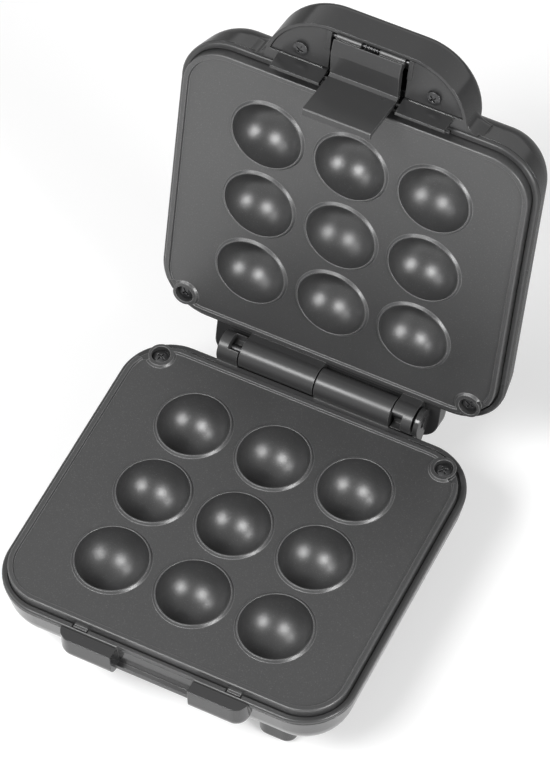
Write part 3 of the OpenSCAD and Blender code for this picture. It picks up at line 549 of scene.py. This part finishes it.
def bush_profile():
    """Radius against distance out of the wall, from the inner end of the bore and round."""
    back = bush_low.y - bush_high.y
    under = -bush_face + bush_back_gap
    return [(bush_bore, back), (bush_neck - bush_neck_edge[0], back),
            (bush_neck, back + bush_neck_edge[1]), (bush_neck, under), (bush_flange, under),
            (bush_flange, -bush_side_end),
            (bush_flange - bush_rim_edge[0], -bush_rim_edge[1]),
            (bush_flange - bush_rim_flat[0], -bush_rim_flat[1]),
            (bush_bore + bush_mouth_flat[0], -bush_mouth_flat[1]),
            (bush_bore + bush_mouth_edge[0], -bush_mouth_edge[1]),
            (bush_bore, -bush_mouth_deep), (bush_bore, back)]


def bush_rib(number):
    """A low bar across the face of the flange, narrower at the end near the bore."""
    angle = math.tau * number / bush_rib_count
    around = Matrix.Rotation(angle, 4, "Z")
    outer = bush_flange - bush_rib_ends[0], bush_rib_half
    inner = bush_bore + bush_rib_ends[1], bush_rib_half * bush_rib_taper
    corners = [(outer[0], -outer[1]), outer, inner, (inner[0], -inner[1])]
    points = [(x, y, z) for z in bush_rib_heights for x, y in corners]
    faces = [(3, 2, 1, 0), (4, 5, 6, 7)] + [(i, (i + 1) % 4, 4 + (i + 1) % 4, 4 + i)
                                            for i in range(4)]
    return points, faces, around


out_of_wall = (Matrix.Translation((bush_middle.x, bush_high.y, bush_middle.z))
               @ Matrix.Rotation(-math.pi / 2, 4, "X"))
bush = new_piece(
    "ribbed_cord_bush",
    [(*turned(bush_profile()), out_of_wall)]
    + [(points, faces, out_of_wall @ around)
       for points, faces, around in map(bush_rib, range(bush_rib_count))],
    soft_rubber)
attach(bush, "base")
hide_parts("cord_inlet")

# Heating parts of the base
# A steel tube heater is bent into a U and clipped to the ribs under the cups. A pan of thin
# aluminium below it keeps the heat off the casing. The thermostat and the terminal block
# are unglazed white ceramic.
heater_steel = surface(
    "heated_steel", colour=(0.33, 0.31, 0.29), worn_or_lit_colour=(0.5, 0.49, 0.47),
    dull=(0.34, 0.5), grain=(0.0003, 0.008, 0.4), grain_height=0.00002, edge=0.0004,
    fleck_colour=(0.16, 0.12, 0.09), fleck=(0.002, 0.5), metal=1.0)
mill_alloy = surface(
    "mill_aluminium_sheet", colour=(0.72, 0.72, 0.71), worn_or_lit_colour=(0.85, 0.85, 0.85),
    dull=(0.25, 0.38), grain=(0.0003, 0.015, 0.5), grain_height=0.00002, edge=0.0003,
    fleck_colour=(0.5, 0.5, 0.5), fleck=(0.001, 0.25), metal=1.0)
unglazed = surface(
    "unglazed_ceramic", colour=(0.78, 0.76, 0.7), worn_or_lit_colour=(0.86, 0.85, 0.81),
    dull=(0.55, 0.7), grain=(0.0002, 0.004, 0.3), grain_height=0.00003, edge=0.0004,
    fleck_colour=(0.6, 0.57, 0.5), fleck=(0.0008, 0.2))
for heated, finish in (("lower_heater", heater_steel), ("lower_heat_shield", mill_alloy),
                       ("thermostat", unglazed), ("terminal_block", unglazed)):
    paint(heated, finish)

# Base frame
# A satin black moulding in heat resistant plastic. It drops into the casing, carries the
# plate on its shelf, and holds a long and a short barrel of the hinge at the rear.
# Its edges are painted lighter, a painted highlight along the rims of the ledge
satin_black = surface(
    "satin_black_moulding", colour=(0.042, 0.042, 0.0425), worn_or_lit_colour=(0.16, 0.16, 0.16),
    dull=(0.27, 0.34), grain=(0.0005, 0.012, 0.3), grain_height=0.00003, edge=0.0005,
    fleck_colour=(0.15, 0.15, 0.15), fleck=(0.0006, 0.08), wear_and_highlight=0.6)
paint("base_frame", satin_black)

# Lower plate
# Die cast aluminium with nine half round cups, sprayed with a dark grey nonstick coating
# that has fine light flecks. Along the raised rings and the lip its colour is lightened,
# a painted highlight where these edges catch the light.
nonstick = surface(
    "nonstick_coating", colour=(0.034, 0.034, 0.0345), worn_or_lit_colour=(0.36, 0.36, 0.36),
    dull=(0.32, 0.38), grain=(0.00045, 0.01, 0.15), grain_height=0.00006, edge=0.0005,
    fleck_colour=(0.16, 0.16, 0.16), fleck=(0.0005, 0.3), fleck_share=0.45, wear_and_highlight=0.6,
    gloss=1.75)
paint("lower_plate", nonstick)

# Plate screws
# Two blackened steel pan head screws hold each plate at its rear corners. A cross recess
# is punched in each head.
screw_slot_wide = 0.0009
screw_slot_deep = 0.0014
screw_shank_radius = 0.0016
head_sides = 32
head_rings = 5
head_fall_power = 2.5
slot_share = 1.15
pit_top_share = 1.3
pit_low_share = 0.6
pit_deep_share = 1.2
pit_sunk_share = 1.1
shank_sides = 20
shank_drop_share = 0.49
screw_turn_seed = 7
screw_smooth_angle = 40


def geometry_tree(name, sizes):
    """Starts a Geometry Nodes tree with named sizes; returns it with its input and output."""
    tree = bpy.data.node_groups.new(name, "GeometryNodeTree")
    tree.is_modifier = True
    tree.interface.new_socket("Geometry", in_out="INPUT", socket_type="NodeSocketGeometry")
    for label in sizes:
        tree.interface.new_socket(label, in_out="INPUT", socket_type="NodeSocketFloat")
    tree.interface.new_socket("Material", in_out="INPUT", socket_type="NodeSocketMaterial")
    tree.interface.new_socket("Geometry", in_out="OUTPUT", socket_type="NodeSocketGeometry")
    return tree, tree.nodes.new("NodeGroupInput"), tree.nodes.new("NodeGroupOutput")


def vector_of(tree, x, y, z):
    node = tree.nodes.new("ShaderNodeCombineXYZ")
    for socket, value in zip(node.inputs, (x, y, z)):
        if isinstance(value, (int, float)):
            socket.default_value = value
        else:
            tree.links.new(value, socket)
    return node.outputs[0]


def make_screw_heads():
    """A domed head with a cross recess on every point, turned as the point's facing says."""
    tree, given, result = geometry_tree(
        "cross_head_screws",
        ("Radius", "Height", "Dome", "Slot Width", "Slot Depth", "Shank Radius", "Shank Length"))
    link = tree.links.new
    value = given.outputs
    head = tree.nodes.new("GeometryNodeMeshCylinder")
    head.inputs["Vertices"].default_value = head_sides
    head.inputs["Fill Segments"].default_value = head_rings
    link(value["Radius"], head.inputs["Radius"])
    link(value["Height"], head.inputs["Depth"])
    lifted = tree.nodes.new("GeometryNodeTransform")
    link(head.outputs["Mesh"], lifted.inputs["Geometry"])
    link(vector_of(tree, 0.0, 0.0, math_node(tree, "MULTIPLY", value["Height"], 0.5)),
         lifted.inputs["Translation"])
    # The top falls away from its middle with a power of the radius
    place = tree.nodes.new("GeometryNodeInputPosition")
    parts = tree.nodes.new("ShaderNodeSeparateXYZ")
    link(place.outputs[0], parts.inputs[0])
    flat = vector_of(tree, parts.outputs["X"], parts.outputs["Y"], 0.0)
    length = tree.nodes.new("ShaderNodeVectorMath")
    length.operation = "LENGTH"
    link(flat, length.inputs[0])
    share = math_node(tree, "DIVIDE", length.outputs["Value"], value["Radius"])
    drop = math_node(
        tree, "MULTIPLY", math_node(tree, "POWER", share, head_fall_power), value["Dome"])
    on_top = math_node(tree, "GREATER_THAN", parts.outputs["Z"],
                       math_node(tree, "MULTIPLY", value["Height"], 0.5))
    domed = tree.nodes.new("GeometryNodeSetPosition")
    link(lifted.outputs["Geometry"], domed.inputs["Geometry"])
    link(vector_of(tree, 0.0, 0.0, math_node(
        tree, "MULTIPLY", math_node(tree, "MULTIPLY", drop, on_top), -1.0)),
         domed.inputs["Offset"])
    # Two crossed bars and a pit where they meet are cut out of the head
    slot_long = math_node(tree, "MULTIPLY", value["Radius"], slot_share)
    deep = math_node(tree, "MULTIPLY", value["Slot Depth"], 2.0)
    cuts = []
    for turn in (0.0, math.pi / 2):
        bar = tree.nodes.new("GeometryNodeMeshCube")
        link(vector_of(tree, slot_long, value["Slot Width"], deep), bar.inputs["Size"])
        moved = tree.nodes.new("GeometryNodeTransform")
        link(bar.outputs["Mesh"], moved.inputs["Geometry"])
        moved.inputs["Rotation"].default_value = (0, 0, turn)
        link(vector_of(tree, 0.0, 0.0, value["Height"]), moved.inputs["Translation"])
        cuts.append(moved.outputs["Geometry"])
    pit = tree.nodes.new("GeometryNodeMeshCone")
    pit.inputs["Vertices"].default_value = 4
    link(math_node(tree, "MULTIPLY", value["Slot Width"], pit_top_share),
         pit.inputs["Radius Top"])
    link(math_node(tree, "MULTIPLY", value["Slot Width"], pit_low_share),
         pit.inputs["Radius Bottom"])
    link(math_node(tree, "MULTIPLY", value["Slot Depth"], pit_deep_share), pit.inputs["Depth"])
    sunk = tree.nodes.new("GeometryNodeTransform")
    link(pit.outputs["Mesh"], sunk.inputs["Geometry"])
    pit_drop = math_node(tree, "MULTIPLY", value["Slot Depth"], pit_sunk_share)
    link(vector_of(tree, 0.0, 0.0, math_node(tree, "SUBTRACT", value["Height"], pit_drop)),
         sunk.inputs["Translation"])
    cuts.append(sunk.outputs["Geometry"])
    cut = tree.nodes.new("GeometryNodeMeshBoolean")
    cut.operation = "DIFFERENCE"
    cut.solver = "EXACT"
    link(domed.outputs["Geometry"], cut.inputs["Mesh 1"])
    for tool in cuts:
        link(tool, cut.inputs["Mesh 2"])
    shank = tree.nodes.new("GeometryNodeMeshCylinder")
    shank.inputs["Vertices"].default_value = shank_sides
    link(value["Shank Radius"], shank.inputs["Radius"])
    link(value["Shank Length"], shank.inputs["Depth"])
    below = tree.nodes.new("GeometryNodeTransform")
    link(shank.outputs["Mesh"], below.inputs["Geometry"])
    shank_drop = math_node(tree, "MULTIPLY", value["Shank Length"], -shank_drop_share)
    link(vector_of(tree, 0.0, 0.0, shank_drop), below.inputs["Translation"])
    whole = tree.nodes.new("GeometryNodeJoinGeometry")
    link(cut.outputs["Mesh"], whole.inputs["Geometry"])
    link(below.outputs["Geometry"], whole.inputs["Geometry"])
    facing = tree.nodes.new("GeometryNodeInputNamedAttribute")
    facing.data_type = "FLOAT_VECTOR"
    facing.inputs["Name"].default_value = "facing"
    aligned = tree.nodes.new("FunctionNodeAlignRotationToVector")
    aligned.axis = "Z"
    link(facing.outputs["Attribute"], aligned.inputs["Vector"])
    # No two screws stop at the same turn
    chance = tree.nodes.new("FunctionNodeRandomValue")
    chance.data_type = "FLOAT"
    chance.inputs[3].default_value = math.pi / 2
    chance.inputs["Seed"].default_value = screw_turn_seed
    spun = tree.nodes.new("FunctionNodeAxisAngleToRotation")
    spun.inputs["Axis"].default_value = (0, 0, 1)
    link(chance.outputs[1], spun.inputs["Angle"])
    both = tree.nodes.new("FunctionNodeRotateRotation")
    both.rotation_space = "LOCAL"
    link(aligned.outputs["Rotation"], both.inputs["Rotation"])
    link(spun.outputs["Rotation"], both.inputs["Rotate By"])
    copies = tree.nodes.new("GeometryNodeInstanceOnPoints")
    link(value["Geometry"], copies.inputs["Points"])
    link(whole.outputs["Geometry"], copies.inputs["Instance"])
    link(both.outputs["Rotation"], copies.inputs["Rotation"])
    real = tree.nodes.new("GeometryNodeRealizeInstances")
    link(copies.outputs["Instances"], real.inputs["Geometry"])
    dressed = tree.nodes.new("GeometryNodeSetMaterial")
    link(real.outputs["Geometry"], dressed.inputs["Geometry"])
    link(value["Material"], dressed.inputs["Material"])
    link(dressed.outputs["Geometry"], result.inputs["Geometry"])
    return tree


screw_heads = make_screw_heads()


def grown(name, places, facing, tree, material, **sizes):
    """A plain mesh that the tree makes on the places, with its modifier gone."""
    mesh = bpy.data.meshes.new(name + "_places")
    mesh.from_pydata([tuple(p) for p in places], [], [])
    mesh.attributes.new("facing", "FLOAT_VECTOR", "POINT").data.foreach_set(
        "vector", [c for _ in places for c in facing])
    seed = bpy.data.objects.new(name + "_places", mesh)
    bpy.context.scene.collection.objects.link(seed)
    modifier = seed.modifiers.new("grow", "NODES")
    modifier.node_group = tree
    for item in tree.interface.items_tree:
        if item.in_out != "INPUT" or item.socket_type == "NodeSocketGeometry":
            continue
        given = material if item.name == "Material" else sizes[item.name.replace(" ", "_")]
        modifier[item.identifier] = given
    shown = seed.evaluated_get(bpy.context.evaluated_depsgraph_get())
    made = bpy.data.meshes.new_from_object(shown)
    bpy.data.objects.remove(seed)
    made.name = name
    made.shade_smooth()
    made.set_sharp_from_angle(angle=math.radians(screw_smooth_angle))
    piece = bpy.data.objects.new(name, made)
    bpy.context.scene.collection.objects.link(piece)
    return piece


black_steel = surface(
    "blackened_steel", colour=(0.085, 0.085, 0.087), worn_or_lit_colour=(0.3, 0.3, 0.3),
    dull=(0.32, 0.44), grain=(0.0002, 0.003, 0.2), grain_height=0.00001, edge=0.0003,
    fleck_colour=(0.2, 0.2, 0.2), fleck=(0.0003, 0.3), metal=0.85, wear_and_highlight=0.6)

plate_screw_low, plate_screw_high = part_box("lower_plate_screws")
plate_screw_radius = (plate_screw_high.y - plate_screw_low.y) / 2
plate_screw_height = 0.0022
plate_screw_dome = 0.0009
plate_screw_places = [
    Vector((side * (plate_screw_high.x - plate_screw_radius),
            (plate_screw_low.y + plate_screw_high.y) / 2,
            plate_screw_high.z - plate_screw_height)) for side in (-1, 1)]
plate_screw_sizes = dict(
    Radius=plate_screw_radius, Height=plate_screw_height, Dome=plate_screw_dome,
    Slot_Width=screw_slot_wide, Slot_Depth=screw_slot_deep, Shank_Radius=screw_shank_radius,
    Shank_Length=plate_screw_high.z - plate_screw_low.z - plate_screw_height)
lower_screws = grown("lower_plate_cross_screws", plate_screw_places, (0, 0, 1), screw_heads,
                     black_steel, **plate_screw_sizes)
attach(lower_screws, "base")
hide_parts("lower_plate_screws")

# Screws under the base
# Four steel screws go up through deep holes in the bottom of the casing into posts on the
# frame. Their heads sit well inside the holes.
case_screw_low, case_screw_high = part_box("base_case_screws")
case_screw_radius = 0.0035
case_screw_height = 0.002
case_screw_dome = 0.0006
case_screw_places = [
    Vector((x, y, case_screw_low.z + case_screw_height))
    for x in (case_screw_low.x + case_screw_radius, case_screw_high.x - case_screw_radius)
    for y in (case_screw_low.y + case_screw_radius, case_screw_high.y - case_screw_radius)]
plain_steel = surface(
    "plain_steel", colour=(0.42, 0.42, 0.425), worn_or_lit_colour=(0.62, 0.62, 0.62),
    dull=(0.22, 0.34), grain=(0.0003, 0.008, 0.2), grain_height=0.00001, edge=0.0003,
    fleck_colour=(0.3, 0.3, 0.3), fleck=(0.0006, 0.2), metal=1.0)
case_screws = grown(
    "base_cross_screws", case_screw_places, (0, 0, -1), screw_heads, plain_steel,
    Radius=case_screw_radius, Height=case_screw_height, Dome=case_screw_dome,
    Slot_Width=screw_slot_wide, Slot_Depth=screw_slot_deep, Shank_Radius=screw_shank_radius,
    Shank_Length=case_screw_high.z - case_screw_low.z - case_screw_height)
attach(case_screws, "base")
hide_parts("base_case_screws")

# Hinge pin
# A blackened steel rod that runs through all four barrels and the ear at the right. It
# shows in the windows of the short barrels.
paint("hinge_pin", black_steel)

# Lid casing
# The same black moulding as the base, turned over, with the handle at its free edge and a
# hump that covers the hinge.
pivot = Vector(joints["lid_hinge"]["pos_m"])
open_angle = math.radians(joints["lid_hinge"]["range_deg"][1])
plates_meet = 0.065
shut_gap = 0.0004
# Carries a place on the base half to the same place on the lid half, which is the base
# half turned over and swung open
to_lid = (Matrix.Translation(pivot)
          @ Matrix.Rotation(-open_angle, 4, "X")
          @ Matrix.Translation((0, 0, plates_meet + shut_gap - pivot.z))
          @ Matrix.Rotation(math.pi, 4, "Y")
          @ Matrix.Translation((0, -pivot.y, -plates_meet)))
paint("lid_shell", polished_black)

# Lid frame
# The partner of the base frame, with the other two barrels of the hinge.
paint("lid_frame", satin_black)

# Upper plate and the parts behind it
# The same casting, coating, heater and heat shield as in the base, with a thermal fuse in
# a ceramic sleeve in place of the thermostat.
paint("upper_plate", nonstick)
for heated, finish in (("upper_heater", heater_steel), ("upper_heat_shield", mill_alloy),
                       ("thermal_fuse", unglazed), ("lid_case_screws", plain_steel)):
    paint(heated, finish)
upper_screws = grown(
    "upper_plate_cross_screws", [to_lid @ p for p in plate_screw_places],
    to_lid.to_3x3() @ Vector((0, 0, 1)), screw_heads, black_steel, **plate_screw_sizes)
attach(upper_screws, "lid")
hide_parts("upper_plate_screws")

# Indicator lamps
# Two small domes of tinted plastic clipped into the top of the lid, red for power and
# green for ready. They are glossy, with a faint ripple.
lens_coat_dull = 0.03
lens_patch = 0.004
lens_dull = (0.08, 0.2)
lens_grain = (0.0003, 0.0015, 0.8)
lens_grain_height = 0.0001


def lens(name, colour, deep_colour):
    material, n, link = new_material(name)
    out = n.new("ShaderNodeOutputMaterial")
    shader = n.new("ShaderNodeBsdfPrincipled")
    shader.inputs["Coat Weight"].default_value = 1.0
    shader.inputs["Coat Roughness"].default_value = lens_coat_dull
    marks = placed_group(n, handling_marks, Patch_Size=lens_patch, Low=lens_dull[0],
                         High=lens_dull[1])
    height = placed_group(n, moulded_grain, Grain_Size=lens_grain[0],
                          Ripple_Size=lens_grain[1], Ripple_Share=lens_grain[2])
    bump = n.new("ShaderNodeBump")
    bump.inputs["Distance"].default_value = lens_grain_height
    link.new(height.outputs["Height"], bump.inputs["Height"])
    link.new(mixed_colour(n, link, marks.outputs["Patches"], deep_colour, colour),
             shader.inputs["Base Color"])
    link.new(marks.outputs["Roughness"], shader.inputs["Roughness"])
    link.new(bump.outputs["Normal"], shader.inputs["Normal"])
    link.new(shader.outputs[0], out.inputs["Surface"])
    return material


paint("power_lamp", lens("red_lens", colour=(0.62, 0.03, 0.02), deep_colour=(0.3, 0.01, 0.008)))
paint("ready_lamp", lens("green_lens", colour=(0.04, 0.45, 0.1), deep_colour=(0.015, 0.2, 0.04)))

# Handle cover
# A black moulding screwed under the handle. A well in its middle holds the latch pin, so
# the latch can swing. It is etched finer than the casing, so it looks greyer.
etched_black = surface(
    "etched_black_moulding", colour=(0.036, 0.036, 0.0365), worn_or_lit_colour=(0.08, 0.08, 0.08),
    dull=(0.36, 0.44), grain=(0.0004, 0.012, 0.3), grain_height=0.00003, edge=0.0006,
    fleck_colour=(0.13, 0.13, 0.13), fleck=(0.0006, 0.08))
paint("handle_cover", etched_black)
cover_screw_low, cover_screw_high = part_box("handle_cover_screws")
cover_screw_radius = 0.0037
cover_screw_height = 0.002
cover_screw_dome = 0.0007
cover_screw_length = 0.012
cover_shank_radius = 0.0013
out_of_cover = (to_lid.to_3x3() @ Vector((0, 0, 1))).normalized()
cover_screw_middle = (cover_screw_low + cover_screw_high) / 2
cover_screw_places = [
    Vector((side * (cover_screw_high.x - cover_screw_radius), cover_screw_middle.y,
            cover_screw_middle.z)) + out_of_cover * (cover_screw_length - cover_screw_height) / 2
    for side in (-1, 1)]
cover_screws = grown(
    "handle_cover_cross_screws", cover_screw_places, out_of_cover, screw_heads, black_steel,
    Radius=cover_screw_radius, Height=cover_screw_height, Dome=cover_screw_dome,
    Slot_Width=screw_slot_wide, Slot_Depth=screw_slot_deep, Shank_Radius=cover_shank_radius,
    Shank_Length=cover_screw_length)
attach(cover_screws, "lid")
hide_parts("handle_cover_screws")

# Latch pin and spring
# A blackened steel pin held in the walls of the well, and a torsion spring of thin wire
# wound around it. The ends of the spring press on the roof of the well.
paint("latch_pin", black_steel)
paint("latch_spring", black_steel)

# Latch clip
# A satin black moulding that turns on the latch pin. Its grip lies under the handle, and
# its leg hooks under the catch bar of the base when the lid is shut.
paint("latch_clip", satin_black)
